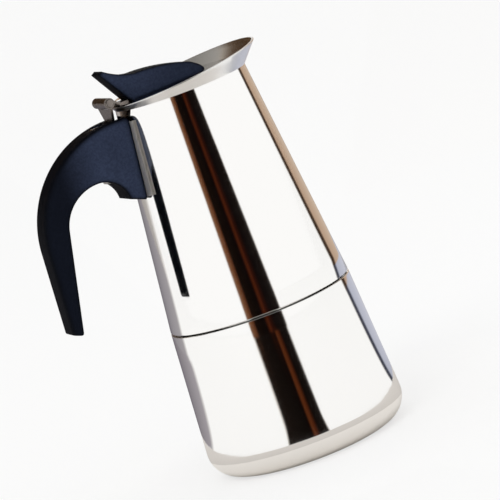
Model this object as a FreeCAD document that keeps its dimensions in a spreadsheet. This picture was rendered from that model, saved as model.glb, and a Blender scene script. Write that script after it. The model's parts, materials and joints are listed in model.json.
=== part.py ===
# Stovetop coffee pot in polished steel: boiler, funnel, collector, handle and hinged lid.
# Millimetres, +Z up, origin at the middle of the base, handle towards -X, pouring lip towards +X.
import FreeCAD, Part
import os
import re

import Sketcher

SIZES = (
    # boiler
    ("base_radius", 48.8, "boiler wall radius, run down to the base plane"),
    ("base_rounding", 12.0, "radius of the rounded base edge"),
    ("seam_radius", 43.9, "outer radius where boiler and collector meet"),
    ("seam_height", 72.0, "height of the boiler's shoulder"),
    ("seam_gap", 0.7, "open line between boiler and collector"),
    ("seam_edge", 0.4, "rounding of the two edges at the seam"),
    ("wall", 1.0, "steel sheet"),
    ("base_ring_inset", 3.8, "flat between the rounded edge and the ring pressed into the base"),
    ("base_ring_width", 5.0, "width of that ring"),
    ("base_ring_depth", 0.5, "depth of that ring"),
    ("neck_step", 4.9, "step from the seam in to the threaded neck"),
    ("neck_height", 12.0, "height of the threaded neck over the shoulder"),
    # collector
    ("throat_height", 179.0, "height of the crease under the pouring collar"),
    ("throat_radius", 31.8, "outer radius at that crease"),
    ("flare_angle", 40.4, "flare of the pouring collar from upright"),
    ("rim_rise", 5.8, "slanting rim above the crease, on the axis"),
    ("rim_tilt", 5.7, "slant of the rim, rising to the pouring lip"),
    ("rim_edge", 0.3, "rounding of the rim's edges"),
    ("weld_gap", 0.05, "gap where one steel piece is welded to another"),
    ("thread_depth", 0.8, "room for the thread between neck and ring"),
    ("thread_fit", 0.2, "clearance of the thread"),
    ("ring_setback", 1.4, "thread ring's lower end above the collector's edge"),
    # seal and upper filter
    ("gasket_thickness", 3.0, "silicone seal"),
    ("gasket_inset", 0.4, "gap from the seal to the thread ring"),
    ("gasket_width", 7.1, "radial width of the seal"),
    ("filter_fit", 0.2, "gap round the upper filter in the seal"),
    ("filter_thickness", 0.8, "upper filter plate"),
    ("filter_lift", 0.2, "upper filter above the funnel's mouth"),
    # riser
    ("dome_height", 6.0, "rise of the collector's floor to the riser"),
    ("dome_radius", 18.0, "foot of that rise"),
    ("riser_radius", 5.5, "outer radius of the riser tube"),
    ("riser_drop", 34.0, "top of the riser tube below the crease"),
    ("cap_rise", 8.0, "riser cap above the tube"),
    ("cap_overlap", 6.0, "riser cap down over the tube"),
    ("window_width", 4.0, "outlet windows in the cap"),
    ("window_height", 4.5, "outlet windows in the cap"),
    # funnel
    ("basket_depth", 18.0, "depth of the coffee basket"),
    ("basket_gap", 0.3, "gap from basket to neck"),
    ("basket_wall", 0.8, "funnel's sheet"),
    ("basket_ledge", 4.7, "ledge that the strainer lies on"),
    ("cone_depth", 8.0, "drop from the basket to the stem's collar"),
    ("socket_length", 4.5, "collar that holds the stem"),
    ("stem_radius", 5.0, "outer radius of the stem"),
    ("stem_gap", 6.0, "stem's lower end above the boiler's floor"),
    ("strainer_thickness", 0.6, "strainer in the basket"),
    ("strainer_gap", 0.2, "gap round the strainer"),
    ("hole_radius", 0.9, "holes of strainer and filter"),
    ("hole_spacing", 6.2, "step from one ring of holes to the next"),
    # safety valve
    ("valve_height", 46.0, "height of the safety valve"),
    ("valve_stub", 4.5, "radius of the valve's threaded stub"),
    ("valve_fit", 0.1, "clearance round the stub"),
    ("valve_inside", 9.0, "stub inside the boiler's wall"),
    ("valve_seal_radius", 7.5, "outer seal"),
    ("valve_seal_depth", 1.6, "outer seal, out from the wall"),
    ("valve_flats", 13.0, "across the flats of body and nut"),
    ("valve_hex_depth", 4.0, "hexagon of the body"),
    ("valve_nose", 5.0, "length of the round nose"),
    ("valve_nose_radius", 5.0, "radius of the round nose"),
    ("valve_bore", 3.2, "radius of the spring chamber"),
    ("valve_inlet", 1.6, "radius of the inlet hole"),
    ("valve_lip", 1.5, "end walls of the spring chamber"),
    ("nut_depth", 4.0, "nut inside the boiler"),
    ("nut_gap", 0.8, "nut from the curved inside wall"),
    ("plunger_head", 2.8, "radius of the plunger's head"),
    ("plunger_head_depth", 2.0, "plunger's head"),
    ("plunger_rod", 1.1, "radius of the plunger's rod"),
    ("plunger_proud", 1.5, "rod out of the nose"),
    ("plunger_fit", 0.2, "clearance round the rod"),
    ("spring_radius", 2.1, "middle of the spring's wire"),
    ("spring_wire", 0.3, "radius of the spring's wire"),
    ("spring_turns", 6.0, "turns of the spring"),
    # handle
    ("handle_drop", 2.4, "handle's flat top below the crease"),
    ("handle_shoulder", 6.2, "end of the flat top, out from the crease"),
    ("handle_bend", 49.5, "radius of the outer bend"),
    ("handle_lean", 4.0, "outward lean of the outer edge"),
    ("handle_length", 84.6, "from the flat top down to the free end"),
    ("handle_end_skew", 1.8, "inner corner of the free end below the outer one"),
    ("arch_reach", 23.2, "top of the finger arch, out from the crease"),
    ("arch_drop", 24.0, "top of the finger arch below the handle's top"),
    ("arch_outer", 20.1, "arch radius towards the grip"),
    ("arch_inner", 12.1, "arch radius towards the body"),
    ("grip_lean", 12.9, "outward lean of the inner edge"),
    ("foot_slope", 22.0, "slope of the handle's foot"),
    ("handle_width_body", 25.0, "handle's width at the body"),
    ("handle_width_end", 17.5, "handle's width at the grip"),
    ("handle_round", 3.4, "rounding of the outer edges"),
    ("handle_ease", 1.8, "rounding of the inner edges"),
    ("handle_end_round", 1.0, "rounding of the free end"),
    ("handle_gap", 0.2, "handle from its bracket"),
    # handle bracket
    ("saddle_drop", 2.6, "upper end of the bracket's saddle below the handle's top"),
    ("saddle_length", 35.0, "height of the saddle"),
    ("saddle_angle", 49.0, "arc of the saddle round the body"),
    ("saddle_sheet", 1.2, "saddle's sheet"),
    ("lug_drop", 8.6, "upper face of the bracket's lug below the handle's top"),
    ("lug_depth", 18.0, "height of the lug"),
    ("lug_reach", 17.2, "outer end of the lug, out from the crease"),
    ("lug_width", 8.0, "width of the lug"),
    ("screw_reach", 12.2, "handle screw, out from the crease"),
    ("screw_radius", 2.0, "handle screw's shank"),
    ("screw_length", 15.0, "handle screw's shank"),
    ("screw_head", 3.6, "radius of the handle screw's head"),
    ("screw_head_depth", 2.4, "handle screw's head"),
    ("screw_head_round", 0.8, "rounding of the handle screw's head"),
    ("screw_sink", 0.8, "screw head below the handle's top"),
    ("screw_fit", 0.05, "clearance round a screw"),
    # hinge
    ("hinge_reach", 5.0, "hinge axis out from the crease"),
    ("hinge_rise", 3.0, "hinge axis above the lid"),
    ("knuckle_radius", 2.5, "rolled knuckles"),
    ("pin_radius", 1.4, "hinge pin"),
    ("pin_fit", 0.06, "clearance round the pin"),
    ("pin_head", 2.0, "radius of the pin's heads"),
    ("pin_head_depth", 0.7, "pin's heads"),
    ("pin_head_round", 0.5, "rounding of the pin's heads"),
    ("barrel_length", 22.0, "hinge over all its knuckles"),
    ("leaf_width", 10.4, "lid's hinge leaf"),
    ("leaf_gap", 0.4, "gap round the lid's knuckle"),
    ("leaf_slope", 40.0, "slope of the lid's leaf"),
    ("leaf_length", 28.8, "from the hinge axis to the leaf's inner end"),
    ("tab_sheet", 1.2, "standing plate of the hinge"),
    ("tab_width", 14.0, "standing plate at the handle"),
    # lid
    ("lid_rise", 3.0, "top of the lid above the crease"),
    ("lid_gap", 0.5, "gap round the lid"),
    ("pour_cut", 2.8, "straight cut at the pouring side, in from the crease"),
    ("knob_gap", 0.05, "knob above lid and leaf"),
    ("knob_back", 10.5, "knob's foot, in from the hinge axis"),
    ("knob_tail", 0.5, "knob's thumb tail, out from the hinge axis"),
    ("knob_tail_rise", 16.4, "thumb tail above the lid"),
    ("knob_tail_depth", 2.2, "thickness of the thumb tail's end"),
    ("knob_waist", 16.8, "lowest place behind the thumb tail, in from the hinge axis"),
    ("knob_waist_rise", 11.5, "that place above the lid"),
    ("knob_hollow", 35.0, "radius of the thumb hollow"),
    ("knob_crown", 85.0, "radius of the knob's long top"),
    ("knob_length", 50.2, "from the hinge axis to the knob's nose"),
    ("knob_brow", 2.9, "start of the knob's nose, back from its tip"),
    ("knob_brow_rise", 5.6, "start of the nose above the lid"),
    ("knob_nose_rise", 2.4, "tip of the nose above the lid"),
    ("knob_nose_lean", 0.5, "foot of the nose, back from its tip"),
    ("knob_nose_radius", 4.5, "rounding of the nose"),
    ("knob_side", 98.0, "radius of the knob's sides seen from above"),
    ("knob_tail_half", 7.4, "half width at the thumb tail"),
    ("knob_nose_half", 3.4, "half width at the nose"),
    ("knob_round", 1.3, "rounding of the knob's edges"),
    ("knob_screw", 1.5, "radius of the knob's screws"),
    ("knob_screw_head", 2.8, "radius of the knob screws' heads"),
    ("knob_screw_head_depth", 1.8, "knob screws' heads"),
    ("knob_screw_length", 7.0, "knob screws' shanks"),
    ("knob_screw_near", 16.3, "first knob screw, in from the hinge axis"),
    ("knob_screw_step", 8.0, "from that screw to the second"),
)

NAMES = {alias for alias, value, meaning in SIZES}
FULL_TURN = 360.0
HOLE_RINGS = 4
# Two places closer than this are one place, and a face looks along a direction from this cosine on.
TOUCH = 0.01
ALONG = 0.9

# Heights and radii that several pieces share, as formulas of the named sizes.
BASE_RING = "(base_radius - base_rounding - base_ring_inset)"
MOUTH = "(seam_height + neck_height)"
NECK = "(seam_radius - neck_step)"
RING_BORE = f"({NECK} + thread_depth + thread_fit)"
SKIRT = "(seam_height + seam_gap)"
FLOOR = f"({MOUTH} + wall + gasket_thickness)"
GASKET_OUTER = f"({RING_BORE} - gasket_inset)"
GASKET_INNER = f"({GASKET_OUTER} - gasket_width)"
FLOOR_TOP = f"({FLOOR} + wall)"
DOME_TOP = f"({FLOOR_TOP} + dome_height)"
BASKET_OUTER = f"({NECK} - wall - basket_gap)"
BASKET_INNER = f"({BASKET_OUTER} - basket_wall)"
BASKET_FLOOR = f"({MOUTH} - basket_depth)"
SOCKET_TOP = f"({BASKET_FLOOR} - cone_depth)"
COLLAR_WALL = "(wall / cos(flare_angle))"
RIM = "(throat_height + rim_rise)"
COLLAR_TOP = f"({RIM} + seam_radius * tan(rim_tilt) + 2 * wall)"
RISER_TOP = "(throat_height - riser_drop)"
LID_TOP = "(throat_height + lid_rise)"
HINGE = f"({LID_TOP} + hinge_rise)"
HINGE_OUT = "(throat_radius + hinge_reach)"
KNOB_TAIL = f"({HINGE_OUT} + knob_tail)"
KNOB_NOSE = f"(knob_length - {HINGE_OUT})"
KNOB_SCREWS = [f"(knob_screw_near - {HINGE_OUT})", f"(knob_screw_near + knob_screw_step - {HINGE_OUT})"]
LEAF_END = f"(leaf_length - {HINGE_OUT})"
VALVE_FACE = "(base_radius - (base_radius - seam_radius) * valve_height / seam_height)"
VALVE_SEAT = "(valve_lip - valve_inside)"
VALVE_END = "(valve_seal_depth + valve_hex_depth + valve_nose)"
HANDLE_TOP = "(throat_height - handle_drop)"
HANDLE_END = f"({HANDLE_TOP} - handle_length)"
HANDLE_ROOT = "(throat_radius - 4 * wall)"
SHOULDER = "(throat_radius + handle_shoulder)"
ARCH_OUT = "(throat_radius + arch_reach)"
ARCH_TOP = f"({HANDLE_TOP} - arch_drop)"
ARCH_SPRING = f"({ARCH_TOP} - arch_inner)"
SADDLE_HIGH = f"({HANDLE_TOP} - saddle_drop)"
SADDLE_LOW = f"({SADDLE_HIGH} - saddle_length)"
LUG_HIGH = f"({HANDLE_TOP} - lug_drop)"
LUG_LOW = f"({LUG_HIGH} - lug_depth)"
LUG_END = "(throat_radius + lug_reach)"
SCREW_OUT = "(throat_radius + screw_reach)"
SCREW_SEAT = f"({HANDLE_TOP} - screw_sink - screw_head_depth)"


def collector_radius(height):
    """Outer radius of the collector's tapering wall at a height."""
    rise = f"({height} - seam_height) / (throat_height - seam_height)"
    return f"(seam_radius - (seam_radius - throat_radius) * {rise})"


def boiler_radius(height):
    """Outer radius of the boiler's tapering wall at a height."""
    return f"(base_radius - (base_radius - seam_radius) * ({height}) / seam_height)"


def flare_radius(height):
    """Outer radius of the pouring collar at a height."""
    return f"(throat_radius + ({height} - throat_height) * tan(flare_angle))"


def bound(formula):
    """A formula of named sizes, written as the sheet's own expression."""
    return re.sub(r"[a-z_]+", lambda word: f"Sizes.{word[0]}" if word[0] in NAMES else word[0], formula)


doc = FreeCAD.newDocument("coffee_pot")
sheet = doc.addObject("Spreadsheet::Sheet", "Sizes")
for row, (alias, value, meaning) in enumerate(SIZES, 1):
    sheet.set(f"A{row}", meaning)
    sheet.set(f"B{row}", str(value))
    sheet.setAlias(f"B{row}", alias)
doc.recompute()


def number(formula):
    """What a formula comes to with the sheet's present sizes."""
    return float(sheet.evalExpression(bound(formula)))


def new_body(name):
    """An empty body whose label names its file."""
    body = doc.addObject("PartDesign::Body", name)
    body.Label = name
    return body


def new_sketch(body, plane="XZ_Plane", offset=None):
    """A sketch on one of the body's own planes, moved along that plane's normal by a formula."""
    sketch = body.newObject("Sketcher::SketchObject", f"{body.Name}_sketch")
    support = next(item for item in body.Origin.OriginFeatures if item.Role == plane)
    sketch.AttachmentSupport = [(support, "")]
    sketch.MapMode = "FlatFace"
    if offset:
        sketch.setExpression("AttachmentOffset.Base.z", bound(offset))
    return sketch


def fix_point(sketch, edge, end, x, y):
    """Hold a point of the sketch at two formulas."""
    for kind, axis, formula in (("DistanceX", -2, x), ("DistanceY", -1, y)):
        if formula == "0":
            sketch.addConstraint(Sketcher.Constraint("PointOnObject", edge, end, axis))
        else:
            item = sketch.addConstraint(Sketcher.Constraint(kind, -1, 1, edge, end, number(formula)))
            sketch.setExpression(f"Constraints[{item}]", bound(formula))


def arc_between(start, end, radius):
    """The short arc from start to end: counter-clockwise for a positive radius, else clockwise."""
    chord = end - start
    side = FreeCAD.Vector(-chord.y, chord.x, 0).normalize()
    depth = max(radius * radius - chord.Length ** 2 / 4, 0) ** 0.5
    middle = start + chord * 0.5 + side * (depth if radius > 0 else -depth)
    first, last = (start, end) if radius > 0 else (end, start)
    axis = FreeCAD.Vector(1, 0, 0)
    angles = []
    for point in (first, last):
        spoke = point - middle
        turn = spoke.getAngle(axis)
        angles.append(turn if spoke.y >= 0 else -turn)
    circle = Part.Circle(middle, FreeCAD.Vector(0, 0, 1), abs(radius))
    return Part.ArcOfCircle(circle, angles[0], angles[1])


def add_outline(sketch, points):
    """A closed outline through points (x, y), or (x, y, radius) where the edge leaving it is an arc.

    A radius that starts with a minus sign turns clockwise.
    """
    first = sketch.GeometryCount
    count = len(points)
    places = [FreeCAD.Vector(number(point[0]), number(point[1]), 0) for point in points]
    ends = []
    for index, point in enumerate(points):
        start, end = places[index], places[(index + 1) % count]
        if len(point) == 2:
            sketch.addGeometry(Part.LineSegment(start, end), False)
            ends.append((1, 2))
        else:
            radius = number(point[2])
            edge = sketch.addGeometry(arc_between(start, end, radius), False)
            ends.append((1, 2) if radius > 0 else (2, 1))
            item = sketch.addConstraint(Sketcher.Constraint("Radius", edge, abs(radius)))
            sketch.setExpression(f"Constraints[{item}]", bound(point[2].lstrip("-")))
    for index in range(count):
        follower = (index + 1) % count
        joined = (first + index, ends[index][1], first + follower, ends[follower][0])
        sketch.addConstraint(Sketcher.Constraint("Coincident", *joined))
    for index, point in enumerate(points):
        fix_point(sketch, first + index, ends[index][0], point[0], point[1])


def add_circle(sketch, x, y, radius):
    """A whole circle, held at its middle and by its radius."""
    middle = FreeCAD.Vector(number(x), number(y), 0)
    circle = Part.Circle(middle, FreeCAD.Vector(0, 0, 1), number(radius))
    edge = sketch.addGeometry(circle, False)
    item = sketch.addConstraint(Sketcher.Constraint("Radius", edge, number(radius)))
    sketch.setExpression(f"Constraints[{item}]", bound(radius))
    fix_point(sketch, edge, 3, x, y)


def add_hexagon(sketch, flats):
    """A hexagon round the sketch's origin, from its size across the flats."""
    corner = f"({flats} / sqrt(3))"
    half = f"({flats} / 2)"
    points = [(corner, "0"), (f"{corner} / 2", half), (f"-{corner} / 2", half)]
    points += [(f"-{corner}", "0"), (f"-{corner} / 2", f"-{half}"), (f"{corner} / 2", f"-{half}")]
    add_outline(sketch, points)


def revolve(body, points, kind="Revolution", angle=None):
    """Turn an outline in the XZ plane round the pot's axis, or cut with it."""
    sketch = new_sketch(body)
    add_outline(sketch, points)
    feature = body.newObject(f"PartDesign::{kind}", f"{body.Name}_{kind.lower()}")
    feature.Profile = sketch
    feature.ReferenceAxis = (sketch, ["V_Axis"])
    feature.Angle = FULL_TURN
    if angle:
        feature.Midplane = True
        feature.setExpression("Angle", bound(angle))
    doc.recompute()
    return feature


def extrude(sketch, length, kind="Pad", both=True, backwards=False):
    """Pad a sketch, or cut a pocket with it, to both sides or to one."""
    body = sketch.getParentGeoFeatureGroup()
    feature = body.newObject(f"PartDesign::{kind}", f"{body.Name}_{kind.lower()}")
    feature.Profile = sketch
    feature.SideType = "Symmetric" if both else "One side"
    feature.Reversed = backwards
    feature.setExpression("Length", bound(length))
    doc.recompute()
    return feature


def cut(sketch, length, both=True, backwards=False):
    """Cut a pocket and make sure that it took something away."""
    body = sketch.getParentGeoFeatureGroup()
    before = body.Shape.Volume
    feature = extrude(sketch, length, "Pocket", both, backwards)
    if body.Shape.Volume >= before:
        raise RuntimeError(f"a cut in {body.Label} removes nothing")
    return feature


def groove(body, points):
    """Cut a turned recess and make sure that it took something away."""
    before = body.Shape.Volume
    revolve(body, points, "Groove")
    if body.Shape.Volume >= before:
        raise RuntimeError(f"a groove in {body.Label} removes nothing")


def fillet(body, names, radius):
    """Round the named edges of the body's last feature."""
    feature = body.newObject("PartDesign::Fillet", f"{body.Name}_fillet")
    feature.Base = (body.Tip, names) if body.Tip != feature else (feature.BaseFeature, names)
    feature.setExpression("Radius", bound(radius))
    doc.recompute()
    return feature


def circle_edges(body, places):
    """Names of the body's round edges at (radius, height) formulas."""
    names = []
    for radius, height in places:
        wanted = (number(radius), number(height))
        for index, edge in enumerate(body.Shape.Edges, 1):
            if not isinstance(edge.Curve, Part.Circle):
                continue
            found = (edge.Curve.Radius, edge.Curve.Center.z)
            if max(abs(a - b) for a, b in zip(found, wanted)) < TOUCH:
                names.append(f"Edge{index}")
    return names


def face_middle(face):
    """A point near the middle of a face and the normal there."""
    low_u, high_u, low_v, high_v = face.ParameterRange
    u, v = (low_u + high_u) / 2, (low_v + high_v) / 2
    return face.valueAt(u, v), face.normalAt(u, v)


def edges_between(body, first, second):
    """Names of the edges between a face that passes one test and a face that passes another."""
    names = []
    for index, edge in enumerate(body.Shape.Edges, 1):
        faces = body.Shape.ancestorsOfType(edge, Part.Face)
        if len(faces) != 2:
            continue
        one, other = faces
        if (first(one) and second(other)) or (first(other) and second(one)):
            names.append(f"Edge{index}")
    return names


def boiler_shell():
    """Drawn steel cup with a rounded base edge, a shoulder and a plain neck for the thread."""
    body = new_body("boiler_shell")
    ring_start = f"{BASE_RING} - base_ring_width"
    inner_base = "base_radius - wall"
    revolve(body, [
        ("0", "0"), (ring_start, "0"), (f"{ring_start} + base_ring_depth", "base_ring_depth"),
        (f"{BASE_RING} - base_ring_depth", "base_ring_depth"), (BASE_RING, "0"), ("base_radius", "0"),
        ("seam_radius", "seam_height"), (NECK, "seam_height"), (NECK, MOUTH),
        (f"{NECK} - wall", MOUTH), (f"{NECK} - wall", "seam_height - wall"),
        ("seam_radius - wall", "seam_height - wall"), (inner_base, "wall + base_ring_depth"),
        ("0", "wall + base_ring_depth")])
    fillet(body, circle_edges(body, [("base_radius", "0")]), "base_rounding")
    fillet(body, circle_edges(body, [(inner_base, "wall + base_ring_depth")]), "base_rounding - wall")
    fillet(body, circle_edges(body, [("seam_radius", "seam_height")]), "seam_edge")
    hole = new_sketch(body)
    add_circle(hole, "0", "valve_height", "valve_stub + valve_fit")
    cut(hole, "base_radius + wall", both=False)
    return body


def collector_shell():
    """Tapering steel tube from the seam up to the crease under the pouring collar."""
    body = new_body("collector_shell")
    low = collector_radius(SKIRT)
    revolve(body, [
        (f"{low} - wall", SKIRT), (low, SKIRT), ("throat_radius", "throat_height"),
        ("throat_radius - wall", "throat_height")])
    fillet(body, circle_edges(body, [(low, SKIRT)]), "seam_edge")
    return body


def pour_collar():
    """Flared steel collar with a slanting rim that ends in the pouring lip."""
    body = new_body("pour_collar")
    top = flare_radius(COLLAR_TOP)
    revolve(body, [
        (f"throat_radius - {COLLAR_WALL}", "throat_height"), ("throat_radius", "throat_height"),
        (top, COLLAR_TOP), (f"{top} - {COLLAR_WALL}", COLLAR_TOP)])
    above = new_sketch(body)
    reach = "(2 * seam_radius)"
    add_outline(above, [
        (f"-{reach}", f"{RIM} - {reach} * tan(rim_tilt)"), (reach, f"{RIM} + {reach} * tan(rim_tilt)"),
        (reach, f"2 * {RIM}"), (f"-{reach}", f"2 * {RIM}")])
    cut(above, f"2 * {reach}")
    upright = FreeCAD.Vector(0, 0, 1)
    slant = FreeCAD.Rotation(FreeCAD.Vector(0, -1, 0), number("rim_tilt")).multVec(upright)
    fillet(body, edges_between(
        body, lambda face: face_middle(face)[1].dot(slant) > ALONG, lambda face: True), "rim_edge")
    return body


def thread_ring():
    """Ring welded in the collector's skirt that takes the boiler's neck."""
    body = new_body("thread_ring")
    low = f"({SKIRT} + ring_setback)"
    revolve(body, [
        (RING_BORE, low), (f"{collector_radius(low)} - wall - weld_gap", low),
        (f"{collector_radius(FLOOR)} - wall - weld_gap", FLOOR), (RING_BORE, FLOOR)])
    return body


def collector_floor():
    """Floor of the collector, raised in the middle to the riser."""
    body = new_body("collector_floor")
    edge = f"{collector_radius(FLOOR_TOP)} - wall - weld_gap"
    bore = "riser_radius + weld_gap"
    lip = "(riser_radius + 2 * wall)"
    revolve(body, [
        (edge, FLOOR), (edge, FLOOR_TOP), ("dome_radius", FLOOR_TOP), (lip, DOME_TOP),
        (bore, DOME_TOP), (bore, f"{DOME_TOP} - 2 * wall"), ("dome_radius - wall", FLOOR)])
    return body


def riser_tube():
    """Tube that brings the coffee up, standing in the floor's middle."""
    body = new_body("riser_tube")
    low = f"{DOME_TOP} - 2 * wall"
    revolve(body, [
        ("riser_radius - wall", low), ("riser_radius", low),
        ("riser_radius", RISER_TOP), ("riser_radius - wall", RISER_TOP)])
    return body


def riser_cap():
    """Domed cap pressed on the riser, with two outlet windows."""
    body = new_body("riser_cap")
    top = f"{RISER_TOP} + cap_rise"
    bore = "(riser_radius + weld_gap)"
    outer = f"({bore} + wall)"
    revolve(body, [
        (bore, f"{RISER_TOP} - cap_overlap"), (outer, f"{RISER_TOP} - cap_overlap"), (outer, top),
        ("0", top), ("0", f"{top} - wall"), (bore, f"{top} - wall")])
    fillet(body, circle_edges(body, [(outer, top)]), "2 * wall")
    window = new_sketch(body)
    low = f"{RISER_TOP} + wall"
    half = "window_width / 2"
    high = f"{low} + window_height"
    add_outline(window, [(f"-{half}", low), (half, low), (half, high), (f"-{half}", high)])
    cut(window, f"4 * {outer}")
    return body


def gasket():
    """Flat silicone ring between the funnel's flange and the collector's floor."""
    body = new_body("gasket")
    low = f"{MOUTH} + wall"
    revolve(body, [(GASKET_INNER, low), (GASKET_OUTER, low), (GASKET_OUTER, FLOOR), (GASKET_INNER, FLOOR)])
    return body


def perforate(body, depth):
    """Rings of small holes, six more in each ring, through a thin plate."""
    middle = new_sketch(body, "XY_Plane")
    add_circle(middle, "0", "0", "hole_radius")
    cut(middle, depth, both=False, backwards=True)
    axis = next(item for item in body.Origin.OriginFeatures if item.Role == "Z_Axis")
    for ring in range(1, HOLE_RINGS + 1):
        hole = new_sketch(body, "XY_Plane")
        add_circle(hole, f"{ring} * hole_spacing", "0", "hole_radius")
        pocket = cut(hole, depth, both=False, backwards=True)
        pattern = body.newObject("PartDesign::PolarPattern", f"{body.Name}_ring")
        pattern.Originals = [pocket]
        pattern.Axis = (axis, [""])
        pattern.Angle = FULL_TURN
        pattern.Occurrences = 6 * ring
        body.Tip = pattern
        doc.recompute()


def filter_plate():
    """Perforated plate with a turned-up rim, held inside the gasket."""
    body = new_body("filter_plate")
    low = f"({MOUTH} + wall + filter_lift)"
    rim = f"({GASKET_INNER} - filter_fit)"
    revolve(body, [
        ("0", low), (rim, low), (rim, f"{FLOOR} - filter_lift"),
        (f"{rim} - filter_thickness", f"{FLOOR} - filter_lift"),
        (f"{rim} - filter_thickness", f"{low} + filter_thickness"), ("0", f"{low} + filter_thickness")])
    perforate(body, FLOOR)
    return body


def funnel_basket():
    """Coffee basket with a flange on the boiler's mouth and a cone down to the stem's collar."""
    body = new_body("funnel_basket")
    socket = "(stem_radius + weld_gap)"
    ledge = f"({BASKET_OUTER} - basket_ledge)"
    inner_floor = f"{BASKET_FLOOR} + basket_wall"
    revolve(body, [
        (BASKET_INNER, f"{MOUTH} + wall"), (NECK, f"{MOUTH} + wall"), (NECK, MOUTH),
        (BASKET_OUTER, MOUTH), (BASKET_OUTER, BASKET_FLOOR), (ledge, BASKET_FLOOR),
        (f"{socket} + basket_wall", SOCKET_TOP), (f"{socket} + basket_wall", f"{SOCKET_TOP} - socket_length"),
        (socket, f"{SOCKET_TOP} - socket_length"), (socket, f"{SOCKET_TOP} + basket_wall"),
        (ledge, inner_floor), (BASKET_INNER, inner_floor)])
    return body


def funnel_strainer():
    """Perforated disc on the ledge of the basket."""
    body = new_body("funnel_strainer")
    low = f"({BASKET_FLOOR} + basket_wall)"
    edge = f"{BASKET_INNER} - strainer_gap"
    high = f"{low} + strainer_thickness"
    revolve(body, [("0", low), (edge, low), (edge, high), ("0", high)])
    perforate(body, MOUTH)
    return body


def funnel_stem():
    """Tube from the basket down to just above the boiler's floor."""
    body = new_body("funnel_stem")
    low = "wall + base_ring_depth + stem_gap"
    revolve(body, [
        ("stem_radius - basket_wall", low), ("stem_radius", low),
        ("stem_radius", SOCKET_TOP), ("stem_radius - basket_wall", SOCKET_TOP)])
    return body


def lay_to_back(body):
    """Turn a body that was made along Z to point out of the boiler's back, at the valve."""
    turn = FreeCAD.Rotation(FreeCAD.Vector(1, 0, 0), -90)
    body.Placement = FreeCAD.Placement(FreeCAD.Vector(0, 0, 0), turn)
    body.setExpression("Placement.Base.y", bound(VALVE_FACE))
    body.setExpression("Placement.Base.z", bound("valve_height"))
    doc.recompute()


def valve_body():
    """Brass valve body: threaded stub, hexagon, round nose and a spring chamber."""
    body = new_body("valve_body")
    hexagon = new_sketch(body, "XY_Plane", "valve_seal_depth")
    add_hexagon(hexagon, "valve_flats")
    extrude(hexagon, "valve_hex_depth", both=False)
    nose = "valve_seal_depth + valve_hex_depth"
    revolve(body, [
        ("0", "-valve_inside"), ("valve_stub", "-valve_inside"), ("valve_stub", nose),
        ("valve_nose_radius", nose), ("valve_nose_radius", VALVE_END), ("0", VALVE_END)])
    hole = "plunger_rod + plunger_fit"
    groove(body, [
        ("0", "-valve_inside"), ("valve_inlet", "-valve_inside"), ("valve_inlet", VALVE_SEAT),
        ("valve_bore", VALVE_SEAT), ("valve_bore", f"{VALVE_END} - valve_lip"),
        (hole, f"{VALVE_END} - valve_lip"), (hole, VALVE_END), ("0", VALVE_END)])
    lay_to_back(body)
    return body


def valve_seal():
    """Soft washer under the hexagon, shaped by the boiler's curved wall."""
    body = new_body("valve_seal")
    disc = new_sketch(body)
    add_circle(disc, "0", "valve_height", "valve_seal_radius")
    add_circle(disc, "0", "valve_height", "valve_stub + valve_fit")
    extrude(disc, f"{VALVE_FACE} + valve_seal_depth", both=False, backwards=True)
    low, high = "(valve_height - 2 * valve_seal_radius)", "(valve_height + 2 * valve_seal_radius)"
    groove(body, [
        ("0", low), (f"{boiler_radius(low)} + weld_gap", low),
        (f"{boiler_radius(high)} + weld_gap", high), ("0", high)])
    return body


def valve_nut():
    """Hexagon nut on the stub, inside the boiler."""
    body = new_body("valve_nut")
    flat = new_sketch(body, "XY_Plane", "-wall - nut_gap - nut_depth")
    add_hexagon(flat, "valve_flats")
    add_circle(flat, "0", "0", "valve_stub + weld_gap")
    extrude(flat, "nut_depth", both=False)
    lay_to_back(body)
    return body


def valve_plunger():
    """Plunger that closes the inlet and shows its rod's end in the nose."""
    body = new_body("valve_plunger")
    low = f"({VALVE_SEAT} + weld_gap)"
    head = f"({low} + plunger_head_depth)"
    revolve(body, [
        ("0", low), ("plunger_head", low), ("plunger_head", head), ("plunger_rod", head),
        ("plunger_rod", f"{VALVE_END} + plunger_proud"), ("0", f"{VALVE_END} + plunger_proud")])
    lay_to_back(body)
    return body


def valve_spring():
    """Coil spring round the rod, from the plunger's head to the nose."""
    body = new_body("valve_spring")
    low = f"({VALVE_SEAT} + 2 * weld_gap + plunger_head_depth + spring_wire)"
    high = f"({VALVE_END} - valve_lip - weld_gap - spring_wire)"
    wire = new_sketch(body)
    add_circle(wire, "spring_radius", low, "spring_wire")
    coil = body.newObject("PartDesign::AdditiveHelix", "valve_spring_coil")
    coil.Profile = wire
    coil.ReferenceAxis = (wire, ["V_Axis"])
    coil.Mode = "height-turns-angle"
    coil.setExpression("Height", bound(f"{high} - {low}"))
    coil.setExpression("Turns", bound("spring_turns"))
    doc.recompute()
    lay_to_back(body)
    return body


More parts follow.
